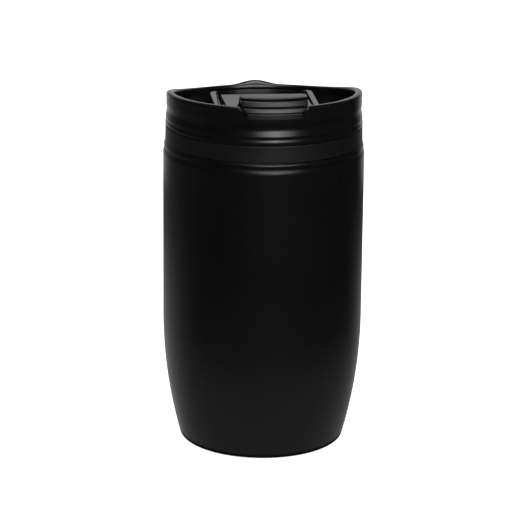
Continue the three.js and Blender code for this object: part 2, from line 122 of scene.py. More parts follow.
# %% Turn a grid of points into a mesh object
def skin(name, grid, close_rows, cap_rows=False):
    """Faces join point (i, j) to (i+1, j), (i+1, j+1) and (i, j+1); columns always wrap round."""
    rows, columns = grid.shape[:2]
    index = np.arange(rows * columns).reshape(rows, columns)
    upper = np.roll(index, -1, 0) if close_rows else index[1:]
    lower = index if close_rows else index[:-1]
    quads = np.stack([lower, np.roll(lower, -1, 1), np.roll(upper, -1, 1), upper], -1).reshape(-1, 4)
    faces = quads.tolist()
    if cap_rows:
        faces += [index[0, ::-1].tolist(), index[-1].tolist()]
    mesh = bpy.data.meshes.new(name)
    mesh.from_pydata((grid.reshape(-1, 3) * MM).tolist(), [], faces)
    work = bmesh.new()
    work.from_mesh(mesh)
    bmesh.ops.remove_doubles(work, verts=work.verts, dist=2e-7)
    bmesh.ops.recalc_face_normals(work, faces=work.faces)
    work.to_mesh(mesh)
    work.free()
    mesh.polygons.foreach_set("use_smooth", np.ones(len(mesh.polygons), bool))
    piece = bpy.data.objects.new(name, mesh)
    bpy.context.scene.collection.objects.link(piece)
    return piece


def turned(name, line, closed=True, around=240, centre_y=0.0):
    """x = r cos a, y = centre + r sin a, z = z, for every point (r, z) of the line."""
    angle = np.linspace(0, 2 * np.pi, around, endpoint=False)
    r, z = line[:, :1], line[:, 1:]
    grid = np.stack([r * np.cos(angle), centre_y + r * np.sin(angle), z + 0 * angle], -1)
    return skin(name, grid, close_rows=closed)


# %% [markdown]
# Straight pieces are an outline drawn along a line. Near both ends the outline shrinks a little
# along a quarter circle, which rounds the end edges. What the two outline numbers and the distance
# along mean in space is decided by the place function, so the same bar can be bent round the rim.

# %% Draw an outline along a line, with rounded ends
def bar(name, line, edge, place, along=(-1.0, 1.0), spans=2, steps=6):
    """Point = line - inset * n, where n is the outline's outward normal; inset = e (1 - sin q) and
    the distance from the end = e (1 - cos q) for q from 0 to 90 degrees."""
    tangent = np.roll(line, -1, 0) - np.roll(line, 1, 0)
    tangent /= np.maximum(np.linalg.norm(tangent, axis=1, keepdims=True), 1e-9)
    area = np.sum(line[:, 0] * np.roll(line[:, 1], -1) - np.roll(line[:, 0], -1) * line[:, 1])
    normal = np.stack([tangent[:, 1], -tangent[:, 0]], -1) * np.sign(area)
    q = np.linspace(0, np.pi / 2, steps)
    inset = np.concatenate([edge * (1 - np.sin(q)), np.zeros(spans - 1), edge * (1 - np.sin(q[::-1]))])
    middle = np.linspace(along[0] + edge, along[1] - edge, spans + 1)[1:-1]
    at = np.concatenate([along[0] + edge * (1 - np.cos(q)), middle, along[1] - edge * (1 - np.cos(q[::-1]))])
    points = line[None] - inset[:, None, None] * normal[None]
    grid = place(points[..., 0], points[..., 1], at[:, None] + 0 * points[..., 0])
    return skin(name, grid, close_rows=False, cap_rows=True)


def joined(name, *parts):
    """One object made of several closed solids, the first one keeping its place in the list."""
    work = bmesh.new()
    for part in parts:
        work.from_mesh(part.data)
    mesh = bpy.data.meshes.new(name)
    work.to_mesh(mesh)
    work.free()
    for part in parts:
        bpy.data.objects.remove(part)
    piece = bpy.data.objects.new(name, mesh)
    bpy.context.scene.collection.objects.link(piece)
    return piece


def cut(piece, *tools):
    """Takes the tools' volume out of a piece, then removes the tools."""
    for tool in tools:
        modifier = piece.modifiers.new("cut", "BOOLEAN")
        modifier.operation = "DIFFERENCE"
        modifier.solver = "EXACT"
        modifier.object = tool
        with bpy.context.temp_override(object=piece, active_object=piece):
            bpy.ops.object.modifier_apply(modifier=modifier.name)
        bpy.data.objects.remove(tool)
    return piece


# %% [markdown]
# Every piece rides on a body of the design, stands for one or more of its nodes and takes a finish.
# One function places it on its body, hides those nodes and sets the material.

# %% Put a finished piece in its place
def settle(piece, body, slot, material, *nodes):
    piece.data.materials.clear()
    piece.data.materials.append(material)
    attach(piece, body)
    if nodes:
        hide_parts(*nodes)
    print(f"{piece.name}: {len(piece.data.polygons)} faces on {body}")
    return piece


# %% [markdown]
# ## Materials
#
# All of the outside is black, so the pieces tell themselves apart by how they shine. Each material
# is a Principled shader whose colour, roughness and bump come from noise at the real grain size.

# %% Helpers for materials
def linear(code):
    """sRGB hex to linear: v / 12.92 under 0.04045, else ((v + 0.055) / 1.055) ^ 2.4."""
    values = np.array([int(code[i : i + 2], 16) / 255 for i in (1, 3, 5)])
    low = values / 12.92
    high = ((values + 0.055) / 1.055) ** 2.4
    return (*np.where(values <= 0.04045, low, high).tolist(), 1.0)


def add(tree, kind, settings=(), **links):
    """Adds a node. Settings set its attributes or unlinked inputs, links feed its inputs."""
    node = tree.nodes.new(kind)
    for key, value in dict(settings).items():
        if isinstance(key, str) and hasattr(node, key):
            setattr(node, key, value)
        else:
            node.inputs[key].default_value = value
    for key, source in links.items():
        tree.links.new(source, node.inputs[int(key[1:]) if key[0] == "_" and key[1:].isdigit() else key])
    return node


def blank(name, **inputs):
    """A material with a Principled shader whose constant inputs are set directly."""
    material = bpy.data.materials.new(name)
    material.use_nodes = True
    tree = material.node_tree
    shader = tree.nodes["Principled BSDF"]
    for key, value in inputs.items():
        shader.inputs[key.replace("_", " ")].default_value = value
    return material, tree, shader


def grain(tree, size_mm, detail=2.0, stretch=(1, 1, 1)):
    """Noise on Object coordinates whose bumps are about size_mm apart."""
    where = add(tree, "ShaderNodeTexCoord")
    turn = add(tree, "ShaderNodeMapping", {"Scale": stretch}, Vector=where.outputs["Object"])
    return add(tree, "ShaderNodeTexNoise", {"Scale": 1 / (size_mm * MM), "Detail": detail},
               Vector=turn.outputs["Vector"])


def between(tree, factor, low, high):
    """Maps a 0 to 1 factor to low to high."""
    node = add(tree, "ShaderNodeMapRange", {"From Min": 0.3, "From Max": 0.7, "To Min": low, "To Max": high},
               Value=factor)
    return node.outputs["Result"]


def dress(material, tree, shader, dark, light, rough, fine_mm, fine_depth_mm, patch_mm=18.0):
    """Colour drifts between two shades over patches, roughness over the same patches and the fine
    grain, and the fine grain also lifts the surface by its depth."""
    patches = grain(tree, patch_mm, 3.0)
    fine = grain(tree, fine_mm, 2.0)
    shade = add(tree, "ShaderNodeMix", {"data_type": "RGBA"}, Factor=patches.outputs[0])
    shade.inputs[6].default_value = linear(dark)
    shade.inputs[7].default_value = linear(light)
    tree.links.new(shade.outputs[2], shader.inputs["Base Color"])
    drift = add(tree, "ShaderNodeMath", {"operation": "ADD"}, _0=patches.outputs[0], _1=fine.outputs[0])
    half = add(tree, "ShaderNodeMath", {"operation": "MULTIPLY", 1: 0.5}, _0=drift.outputs[0])
    tree.links.new(between(tree, half.outputs[0], *rough), shader.inputs["Roughness"])
    bump = add(tree, "ShaderNodeBump", {"Strength": 1.0, "Distance": fine_depth_mm * MM},
               Height=fine.outputs[0])
    tree.links.new(bump.outputs["Normal"], shader.inputs["Normal"])
    return material


# %% [markdown]
# The shell is stainless sheet under black powder coat, which melts into a fine orange peel about
# 0.5 mm from crest to crest: a soft sheen along the edges and hardly any light on the front. Its
# index is set a little under the usual 1.5, as a matt coat throws back less straight on.

# %% Powder coat
powder_coat = dress(*blank("powder_coat_black", IOR=1.38), "#040405", "#060607", (0.23, 0.29), 0.5, 0.004, 30)

# %% [markdown]
# Lid, collar and lever are moulded polypropylene. A mould is polished, blasted or etched, and the
# plastic copies it: the lid's outside is smooth, the collar is etched matt, again with a lower
# index, and the lever, which fingers push, has a fine even texture.

# %% Moulded plastics
plastic_smooth = dress(*blank("polypropylene_smooth", IOR=1.49),
                       "#040405", "#060607", (0.2, 0.26), 0.9, 0.002, 14)
plastic_etched = dress(*blank("polypropylene_etched", IOR=1.37),
                       "#060607", "#09090a", (0.38, 0.45), 0.22, 0.006, 20)
plastic_textured = dress(*blank("polypropylene_textured", IOR=1.49),
                         "#060607", "#09090a", (0.28, 0.36), 0.3, 0.006, 12)

# %% [markdown]
# Stoppers, gasket and foot are silicone rubber, which is matt, a little lighter and slightly soft
# in how it takes light.

# %% Silicone rubber
silicone = dress(*blank("silicone_rubber", IOR=1.41), "#1a1a1b", "#202021", (0.62, 0.72), 0.35, 0.006, 9)

# %% [markdown]
# The liner is stainless steel that was spun and polished in a lathe, so its fine scratches run
# round the axis: noise squeezed along the height gives streaks that follow them.

# %% Turned stainless steel
steel, steel_tree, steel_shader = blank("stainless_turned", Metallic=1.0)
steel_shader.inputs["Base Color"].default_value = linear("#c6c4c0")
rings = grain(steel_tree, 6.0, 4.0, (1, 1, 26))
steel_tree.links.new(between(steel_tree, rings.outputs[0], 0.2, 0.36), steel_shader.inputs["Roughness"])
ring_bump = add(steel_tree, "ShaderNodeBump", {"Strength": 0.6, "Distance": 0.004 * MM},
                Height=rings.outputs[0])
steel_tree.links.new(ring_bump.outputs["Normal"], steel_shader.inputs["Normal"])
finishes = (powder_coat, plastic_smooth, plastic_etched, plastic_textured, silicone, steel)
print("materials:", [m.name for m in finishes])

# %% [markdown]
# ## The steel body
#
# The side is straight down to about a third of the height, then curves in along one large arc to
# a small rounded bottom edge. Near the top a groove is rolled into the sheet and leaves a bead. The
# whole wall is one closed outline, outside and inside, turned once.

# %% Outline of the side
CURVE_START = 55.0
CURVE_R = 201.0
GROOVE = BEAD_TOP - 2.7
SHELL_WALL = 0.6


def side_radius(z):
    """r = R0 - R + sqrt(R^2 - (z0 - z)^2) under z0, and a straight wall above it."""
    drop = np.maximum(CURVE_START - z, 0)
    return BODY_R - CURVE_R + np.sqrt(CURVE_R**2 - drop**2)


def side_line(low, high, count, inset=0.0):
    z = np.linspace(low, high, count)
    return np.stack([side_radius(z) - inset, z], -1)


# %% Shell
EDGE_R = 1.65
EDGE_Z = SHELL_LOW + EDGE_R
FOOT_OPENING = 31.0
edge_middle = BODY_R - CURVE_R
edge_centre = edge_middle + math.sqrt((CURVE_R - EDGE_R) ** 2 - (CURVE_START - EDGE_Z) ** 2)
edge_slope = math.atan2(CURVE_START - EDGE_Z, edge_centre - edge_middle)
turn = np.linspace(-np.pi / 2, -edge_slope, 14)
bottom_edge = np.stack([edge_centre + EDGE_R * np.cos(turn), EDGE_Z + EDGE_R * np.sin(turn)], -1)
shell_top = rounded([
    (BODY_R, GROOVE - 6, 0),
    (BODY_R, GROOVE - 1.6, 0.8),
    (BODY_R - 0.24, GROOVE - 0.45, 0.4),
    (BODY_R - 0.5, GROOVE - 0.05, 0.2),
    (BODY_R - 0.72, GROOVE + 0.1, 0.1),
    (BODY_R - 0.72, GROOVE + 0.3, 0.1),
    (BODY_R - 0.45, GROOVE + 0.45, 0.12),
    (BODY_R - 0.38, GROOVE + 1.3, 0.4),
    (BODY_R - 0.42, BEAD_TOP - 0.6, 0.4),
    (BODY_R - 0.95, BEAD_TOP, 0.35),
    (BODY_R - 1.2, BEAD_TOP, 0),
], closed=False)
shell_outline = np.concatenate([
    [[FOOT_OPENING, SHELL_LOW]],
    bottom_edge,
    side_line(bottom_edge[-1, 1] + 1, CURVE_START, 40),
    side_line(CURVE_START + 6, GROOVE - 8, 12),
    shell_top,
    [[BODY_R - 1.2, GROOVE - 2]],
    side_line(4.0, GROOVE - 5, 24, SHELL_WALL)[::-1],
    [[edge_centre, SHELL_LOW + SHELL_WALL], [FOOT_OPENING, SHELL_LOW + SHELL_WALL]],
])
shell = settle(turned("shell", shell_outline, around=320), "cup", "shell_paint", powder_coat, "outer_shell")

# %% [markdown]
# The foot is a thin silicone disc let into the underside, so the tumbler stands quietly and does
# not slide. A shallow ring moulded into it keeps water from sealing it to the table.

# %% Foot pad
pad_outline = rounded([
    (0, PAD_LOW, 0), (PAD_R - 6, PAD_LOW, 0.3), (PAD_R - 5.4, PAD_LOW + 0.35, 0.3),
    (PAD_R - 3.4, PAD_LOW + 0.35, 0.3), (PAD_R - 2.8, PAD_LOW, 0.3), (PAD_R, PAD_LOW, 0.45),
    (PAD_R, PAD_TOP, 0.15), (0, PAD_TOP, 0),
], closed=False)
foot = settle(turned("foot", pad_outline, closed=False), "cup", "silicone", silicone, "foot_pad")

# %% [markdown]
# The liner is drawn from one sheet: a round bottom, a long wall that follows the shell, a small
# shoulder and a wider neck that takes the collar.

# %% Liner
LINER_WALL = 0.6
INSULATION = 4.0
SHOULDER = BEAD_TOP - 9
liner_in = SHELL_WALL + INSULATION + LINER_WALL
liner_r = BODY_R - liner_in
FLOOR_R = 11.0
FLOOR_END = -0.12
floor_turn = np.linspace(-np.pi / 2, FLOOR_END, 20)
floor_centre = side_radius(LINER_LOW + FLOOR_R) - liner_in + LINER_WALL - FLOOR_R
floor_out = np.stack([
    floor_centre + FLOOR_R * np.cos(floor_turn),
    LINER_LOW + FLOOR_R * (1 + np.sin(floor_turn)),
], -1)
inner_r = FLOOR_R - LINER_WALL
floor_in = np.stack([
    floor_centre + inner_r * np.cos(floor_turn),
    LINER_LOW + FLOOR_R + inner_r * np.sin(floor_turn),
], -1)
neck_in = LINER_NECK_R - LINER_WALL
liner_outline = np.concatenate([
    [[0, LINER_LOW]],
    floor_out,
    side_line(LINER_LOW + FLOOR_R + 2, SHOULDER - 3, 40, liner_in - LINER_WALL),
    rounded([
        (liner_r + LINER_WALL, SHOULDER - 2.4, 0), (liner_r + LINER_WALL, SHOULDER - LINER_WALL, 1.0),
        (LINER_NECK_R, SHOULDER - LINER_WALL, 1.0), (LINER_NECK_R, LINER_TOP, 0.15),
        (neck_in, LINER_TOP, 0.15), (neck_in, SHOULDER, 0.5), (liner_r, SHOULDER, 1.0),
        (liner_r, SHOULDER - 2.4, 0),
    ], closed=False),
    side_line(LINER_LOW + FLOOR_R + 2, SHOULDER - 3, 40, liner_in)[::-1],
    floor_in[::-1],
    [[0, LINER_LOW + LINER_WALL]],
])
liner = settle(turned("liner", liner_outline, closed=False), "cup", "steel", steel, "inner_liner")

# %% [markdown]
# ## The collar
#
# A matt ring pressed into the neck carries the thread for the lid. Its band widens a little towards
# the bead. The thread is one small section carried along a helix, fading in and out.

# %% Collar with its thread
BAND_R = COLLAR_R - 0.12
BORE_R = BODY_R - 3.5
SPIGOT_R = BORE_R + 1.2
BAND_LOW = BEAD_TOP + 0.3
PITCH = 4.0
THREAD_TURNS = 1.25
LID_THREAD_Z = SHOULDER + 4.0
PLUG_R = BORE_R - 1.5


def thread(name, wall, crest, start):
    """Radius = wall + (crest - wall) u fade(s), angle = 2 pi N s, height = start + v + pitch N s."""
    s = np.linspace(0, 1, 140)[:, None]
    sunk = wall - np.sign(crest - wall) * 0.3
    u = np.array([0, 0.85, 1, 1, 0.85, 0])[None]
    v = np.array([-0.85, -0.5, -0.3, 0.3, 0.5, 0.85])[None]
    fade = np.clip(np.minimum(s, 1 - s) * 9, 0, 1)
    r = sunk + (crest - sunk) * u * (0.3 + 0.7 * fade)
    a = 2 * np.pi * THREAD_TURNS * s
    grid = np.stack([r * np.cos(a), r * np.sin(a), start + v + PITCH * THREAD_TURNS * s + 0 * r], -1)
    return skin(name, grid, close_rows=False, cap_rows=True)


collar_outline = rounded([
    (BORE_R, COLLAR_LOW, 0.3), (SPIGOT_R, COLLAR_LOW, 0.3), (SPIGOT_R, BAND_LOW, 0.05),
    (COLLAR_R, BAND_LOW, 0.25), (BAND_R, BAND_LOW + 4.5, 2.0),
    (BAND_R, COLLAR_TOP, 0.4), (BORE_R, COLLAR_TOP, 0.5),
])
ridge = thread("ridge", BORE_R, PLUG_R + 0.4, LID_THREAD_Z + PITCH / 2)
collar = joined("collar", turned("band", collar_outline), ridge)
settle(collar, "cup", "collar_plastic", plastic_etched, "collar_ring")

# %% [markdown]
# ## The lid's rim
#
# The rim is level in front and falls to the back, where it has a small bump that holds the open
# lever. The ring is first an outline turned about the axis; then every point above the seam is
# pressed down by a share of the fall at its place. The front has a shallow notch under the tab.

# %% Height of the rim
DECK = COLLAR_TOP - 4.6
RECESS_R = INNER_R - 1.1
RIM_R = LID_R - 0.45
RIM_TOP = LID_LOW + 15.6
SEAM = COLLAR_TOP + 5.4
REAR_DROP = 7.7
LEAN = 2.4
CATCH = 2.2
CATCH_WIDTH = 23.0
NOTCH = 0.5
NOTCH_HALF = 14.1
NOTCH_SLOPE = 0.6
RIM_WIDTH = RIM_R - RECESS_R


def smooth(t):
    """3 t^2 - 2 t^3 between 0 and 1, flat outside."""
    t = np.clip(t, 0, 1)
    return t * t * (3 - 2 * t)


def rim_fall(x, y):
    """lean (y + R) / 2R + (drop - lean) smooth((y + 6) / (R + 5)), and in front the notch as well:
    notch smooth((w - |x|) / 0.6)."""
    steep = smooth((y + 6) / (RIM_R + 5))
    notch = np.where(y < 0, NOTCH * smooth((NOTCH_HALF - np.abs(x)) / NOTCH_SLOPE), 0)
    return LEAN * (y + RIM_R) / (2 * RIM_R) + (REAR_DROP - LEAN) * steep + notch


def catch_rise(x, y):
    """h u (1 + cos(2 pi x / w)) / 2 behind, u growing from 0 at the rim's inside to 1 at its outside."""
    u = np.clip((np.hypot(x, y) - RECESS_R) / RIM_WIDTH, 0, 1)
    wave = 0.5 * (1 + np.cos(2 * np.pi * x / CATCH_WIDTH))
    return np.where((np.abs(x) < CATCH_WIDTH / 2) & (y > 0), CATCH * u * wave, 0)


# %% Rim
SKIRT_LOW = DECK + 7.0
rim_low = SEAM + 0.3
rim_outline = rounded([
    (INNER_R + 0.3, LID_LOW, 0.1),
    (LID_R - 0.15, LID_LOW, 0.35),
    (LID_R, LID_LOW + 1.0, 0.5),
    (LID_R - 0.28, LID_LOW + 2.5, 0.4),
    (LID_R - 0.16, LID_LOW + 3.4, 0.4),
    (RIM_R - 0.3, LID_LOW + 6.5, 0.9),
    (RIM_R - 0.04, LID_LOW + 9.4, 1.2),
    (RIM_R - 0.06, LID_LOW + 12.0, 1.2),
    (RIM_R - 0.02, RIM_TOP, RIM_WIDTH * 0.47),
    (RECESS_R, RIM_TOP, RIM_WIDTH * 0.47),
    (RECESS_R, rim_low + 0.9, 0.8),
    (RECESS_R - 0.75, SKIRT_LOW, 0.2),
    (RECESS_R - 0.3, SKIRT_LOW, 0.1),
    (RECESS_R - 0.1, rim_low, 0.1),
    (INNER_R + 0.3, rim_low, 0.1),
], steps=13)
rim = turned("rim", rim_outline, around=400)
spots = np.empty(len(rim.data.vertices) * 3)
rim.data.vertices.foreach_get("co", spots)
spots = spots.reshape(-1, 3) / MM
x, y, z = spots.T
reach = RIM_R / np.hypot(x, y)
PRESS_FOOT, PRESS_HEAD = 0.35, 1.9
press_low, press_high = rim_low + PRESS_FOOT, RIM_TOP - PRESS_HEAD
share = np.clip((z - press_low) / (press_high - press_low), 0, 1)
spots[:, 2] = z - share * (rim_fall(x * reach, y * reach) - catch_rise(x, y))
rim.data.vertices.foreach_set("co", (spots * MM).ravel())
settle(rim, "lid", "lid_plastic", plastic_smooth, "lid_shell")

# %% [markdown]
# ## The lid's bowl
#
# Inside the rim the wall narrows to a deck that sits low, inside the plug. The plug carries the
# thread and the gasket. Two cheeks stand on the deck, with the drinking spout and a small air
# vent between them, both bored through.

# %% Bowl
DECK_R = PLUG_R - 1.9
NOSE_R = liner_r - 2.1
NOSE_IN = NOSE_R - 1.9
bowl_outline = rounded([
    (0, DECK - 2.2, 0), (DECK_R, DECK - 2.2, 1.0), (DECK_R, SHOULDER + 3.2, 0.5),
    (NOSE_IN, SHOULDER + 2.2, 0.5), (NOSE_IN, PLUG_LOW, 0.4), (NOSE_R + 1.1, PLUG_LOW, 0.4),
    (NOSE_R + 1.1, PLUG_LOW + 1.2, 0.2), (NOSE_R, PLUG_LOW + 1.2, 0.2), (NOSE_R, PLUG_LOW + 4.3, 0.2),
    (NOSE_R + 1.4, PLUG_LOW + 4.3, 0.2), (PLUG_R, PLUG_LOW + 5.5, 0.4), (PLUG_R, LID_LOW, 0.3),
    (INNER_R, LID_LOW, 0.2), (INNER_R, SEAM, 0.25), (RECESS_R + 0.2, SEAM, 0.2),
    (RECESS_R, SKIRT_LOW - 0.3, 0.2), (RECESS_R - 0.8, SKIRT_LOW - 0.3, 0.3),
    (DECK_R + 0.15, DECK + 3.6, 1.8), (DECK_R, DECK, 1.6), (0, DECK, 0),
], closed=False)
bowl = turned("bowl_skin", bowl_outline, closed=False)

CHEEK_IN = COVER_HALF + 1.2
CHEEK_THICK = 2.9
CHEEK_LEAN = 0.045
CHEEK_OUT = CHEEK_IN + CHEEK_THICK
CHEEK_REAR = 15.2
sunk = DECK - 0.8


def upright(side):
    """Outline numbers are x and y, and the distance along is z; the outer face leans out downwards."""
    def place(a, b, along):
        lean = np.clip((a - CHEEK_IN) / CHEEK_THICK, 0, 1) * CHEEK_LEAN * (CHEEK_TOP - along)
        return np.stack([side * (a + lean), b, along], -1)
    return place


def cheek(side):
    front = -math.sqrt((RECESS_R - 0.4) ** 2 - (CHEEK_OUT + 0.7) ** 2)
    outline = rounded([
        (CHEEK_IN, front - 1.8, 0.2), (CHEEK_OUT, front, 0.2), (CHEEK_OUT, CHEEK_REAR - 2.2, 1.6),
        (CHEEK_OUT - 1.3, CHEEK_REAR, 1.1), (CHEEK_IN - 0.6, CHEEK_REAR - 0.2, 0.5),
        (CHEEK_IN - 0.6, CHEEK_REAR - 1.6, 0.3), (CHEEK_IN, CHEEK_REAR - 2.0, 0.3),
    ])
    return bar("cheek", outline, 0.5, upright(side), along=(sunk, CHEEK_TOP))


SPOUT_Y = -(RECESS_R - 12.5)
SPOUT_TOP = RIM_TOP - 12.2
SPOUT_R, SPOUT_BORE = 8.0, 5.2
VENT_Y = -8.0
VENT_R, VENT_BORE = 3.0, 1.5


def chimney(name, centre, radius, bore):
    """A round post on the deck whose top edge is rounded inside and out."""
    outline = rounded([
        (bore, sunk, 0), (radius + 0.4, sunk, 0), (radius, SPOUT_TOP, 0.5), (bore, SPOUT_TOP, 0.4),
    ], steps=9)
    return turned(name, outline, around=96, centre_y=centre)


def drill(centre, bore):
    outline = np.array([(0, DECK - 4), (bore, DECK - 4), (bore, DECK + 1.5), (0, DECK + 1.5)], float)
    return turned("drill", outline, closed=False, around=96, centre_y=centre)


bowl = cut(bowl, drill(SPOUT_Y, SPOUT_BORE), drill(VENT_Y, VENT_BORE))
bowl.data.polygons.foreach_set("use_smooth", np.ones(len(bowl.data.polygons), bool))
lid_bowl = joined(
    "lid_bowl", bowl, cheek(1), cheek(-1),
    chimney("spout", SPOUT_Y, SPOUT_R, SPOUT_BORE), chimney("vent", VENT_Y, VENT_R, VENT_BORE),
    thread("lid_ridge", PLUG_R, PLUG_R + 1.1, LID_THREAD_Z),
)
settle(lid_bowl, "lid", "lid_plastic", plastic_smooth, "lid_body")

# %% [markdown]
# The gasket is a soft ring with two lips that bear on the liner when the lid is shut.

# %% Gasket
gasket_r, gasket_low, gasket_high = span("lid_gasket")
gasket_outline = rounded([
    (NOSE_R + 0.3, gasket_low, 0.2), (gasket_r - 0.9, gasket_low, 0.2), (gasket_r, gasket_low + 0.5, 0.3),
    (gasket_r - 0.8, (gasket_low + gasket_high) / 2, 0.3), (gasket_r, gasket_high - 0.5, 0.3),
    (gasket_r - 0.9, gasket_high, 0.2), (NOSE_R + 0.3, gasket_high, 0.2),
])
gasket = settle(turned("gasket", gasket_outline), "gasket", "silicone", silicone, "lid_gasket")

# %% [markdown]
# ## The lever
#
# The cover is two outlines seen from the side, each drawn across the lid. One is the flat plate
# between the cheeks. The other is the narrower tab: a ramp up from the plate, a flat top, ribs
# between three grooves on its face and the flap behind them. Its front follows the round of the rim.

# %% Lever cover
TAB_FACE = -COVER_FRONT
TAB_LOW = TAB_TOP - 8.5
PLATE_THICK = 2.4
FLAP_IN = RIM_R + 0.6
TAB_HALF = 13.5
TAB_HALF_LOW = 11.5
NARROW_FROM, NARROW_SPAN = 4.8, 2.6
FACE_LEAN, FACE_POWER, FACE_INSET = 2.9, 2.5, 0.08
PLATE_CLIMB, PLATE_FRONT = 2.0, 22.0
PLATE_END = -29.4
UNDER = RIM_TOP - NOTCH + 0.9


def plate_top(y):
    """A straight climb of 2 mm from the rear edge to 22 mm in front of the axis."""
    return CHEEK_TOP + PLATE_CLIMB * (COVER_REAR - y) / (COVER_REAR + PLATE_FRONT)


def crossways(a, b, along):
    """The outline's numbers are y and z, and the distance along is x."""
    return np.stack([along, a, b], -1)


def face(z):
    """The tab's face leans out as it comes down: y = -(R - 2.9 u^2.5), u from 0 low to 1 at the top."""
    u = (z - TAB_LOW) / (TAB_TOP - TAB_LOW)
    return -(TAB_FACE - FACE_INSET - FACE_LEAN * u**FACE_POWER)


plate_side = rounded([
    (COVER_REAR, plate_top(COVER_REAR) - PLATE_THICK, 0.6),
    (COVER_REAR, plate_top(COVER_REAR), 0.8),
    (PLATE_END, plate_top(PLATE_END), 0.5),
    (PLATE_END, plate_top(PLATE_END) - PLATE_THICK, 0.5),
])
ribs = []
for low, high, soft in ((7.2, 8.1, 0.35), (4.45, 5.35, 0.3), (2.35, 2.85, 0.2)):
    sink = 1.2 if high - low > 0.6 else 0.7
    low, high = TAB_LOW + low, TAB_LOW + high
    ribs += [(face(high), high, soft), (face(high) + sink, high - 0.12, 0.12),
             (face(low) + sink, low + 0.2, 0.12), (face(low), low, soft)]
tab_side = rounded([
    (-20.0, plate_top(-20.0) - PLATE_THICK * 0.7, 0.4),
    (-20.0, plate_top(-20.0) - 0.3, 0.3),
    (-24.5, plate_top(-24.5), 3.0),
    (-31.0, TAB_TOP - 1.7, 2.6),
    (-35.0, TAB_TOP, 1.6),
    (-RIM_R - 0.2, TAB_TOP, 0.8),
    *ribs,
    (face(TAB_LOW), TAB_LOW, 0.5),
    (-FLAP_IN, TAB_LOW, 0.3),
    (-FLAP_IN, UNDER, 0.6),
    (-33.5, UNDER, 0.8),
    (-29.0, plate_top(-29.0) - PLATE_THICK * 0.7, 0.6),
], steps=6)


def wrapped(a, b, along):
    """x = w(z) * along / 13.5, where w narrows down the face; y turns from straight to round the rim,
    y = a + bend (-a - sqrt(a^2 - x^2)), with bend growing from 0 to 1 between y = -31 and y = -38."""
    down = smooth((TAB_LOW + NARROW_FROM - b) / NARROW_SPAN)
    narrow = (TAB_HALF - TAB_HALF_LOW) * down * smooth((-38 - a) / 3)
    x = (TAB_HALF - narrow) * along / TAB_HALF
    bend = smooth((-31 - a) / 7)
    y = a + bend * (-a - np.sqrt(np.maximum(a * a - x * x, 1)))
    return np.stack([x, y, b], -1)


ends = np.linalg.norm(np.diff(tab_side, axis=0, append=tab_side[:1]), axis=1)
stops = np.concatenate([[0], np.cumsum(ends)])
walk = np.unique(np.concatenate([np.arange(0, stops[-1], 0.45), stops[:-1]]))
loop = np.concatenate([tab_side, tab_side[:1]])
tab_side = np.stack([np.interp(walk, stops, loop[:, 0]), np.interp(walk, stops, loop[:, 1])], -1)
plate = bar("plate", plate_side, 0.5, crossways, along=(-COVER_HALF, COVER_HALF), spans=4)
tab = bar("tab", tab_side, 0.35, wrapped, along=(-TAB_HALF, TAB_HALF), spans=24)
settle(joined("lever_top", plate, tab), "lever", "lever_plastic", plastic_textured, "lever_cover")

# %% [markdown]
# Under the cover a carrier holds the hinge barrel and presses the two stoppers on their seats.

# %% Carrier
CARRIER_LOW = SPOUT_TOP + 2.2
carrier_side = rounded([
    (PIVOT_Y - 1, CARRIER_LOW, 0.4), (PIVOT_Y - 1, plate_top(PIVOT_Y - 1) - PLATE_THICK - 0.3, 0.4),
    (-32.0, plate_top(-32.0) - PLATE_THICK - 0.6, 0.8), (-32.0, CARRIER_LOW, 0.8),
])
BARREL_R = 2.8
BEAM_HALF = 9.0
circle = np.linspace(0, 2 * np.pi, 64, endpoint=False)
barrel_side = np.stack([PIVOT_Y + BARREL_R * np.cos(circle), PIVOT_Z + BARREL_R * np.sin(circle)], -1)
beam = bar("beam", carrier_side, 0.6, crossways, along=(-BEAM_HALF, BEAM_HALF))
barrel = bar("barrel", barrel_side, 0.35, crossways, along=(-COVER_HALF, COVER_HALF))
carrier = joined("lever_underside", beam, barrel)
settle(carrier, "lever", "lever_plastic", plastic_textured, "lever_carrier")

# %% Stoppers
def stopper(name, centre, bore, flange, depth, thick, node):
    low = SPOUT_TOP + 0.3
    outline = rounded([
        (0, low - depth, 0), (bore - 1.0, low - depth, 0.5), (bore - 0.3, low, 0.15), (flange, low, 0.35),
        (flange, low + thick, 0.5), (0, low + thick, 0),
    ], closed=False)
    piece = turned(name, outline, closed=False, around=96, centre_y=centre)
    return settle(piece, "lever", "silicone", silicone, node)


stopper("spout_stopper", SPOUT_Y, SPOUT_BORE, 7.0, 2.2, 1.6, "drink_stopper")
stopper("vent_cap", VENT_Y, 1.2, 3.0, 1.2, 1.0, "vent_stopper")

# %% [markdown]
# What stays from the design itself: the base plate, the seal under the collar and the hinge pin are
# closed in, and only get their finishes.

# %% Finish the design's own nodes
for node, material in (("base_plate", steel), ("hinge_pin", steel), ("collar_seal", silicone)):
    kept = frame["nodes"][node]
    kept.data.materials.clear()
    kept.data.materials.append(material)

# %% [markdown]
# ## Floor, light and camera
#
# The tumbler stands on a lit white table. What a black thing shows is mostly what it reflects, so
# the light is built from what lies in its sheen: a white sweep behind it, which draws the two
# bright edges and the faces that look up, a glow on the table round the foot, a round soft box in
# front, which draws the highlights on the roundings, one overhead, and darkness elsewhere.

# %% Lit table and surroundings
scene = bpy.context.scene
scene.view_settings.view_transform = "Standard"

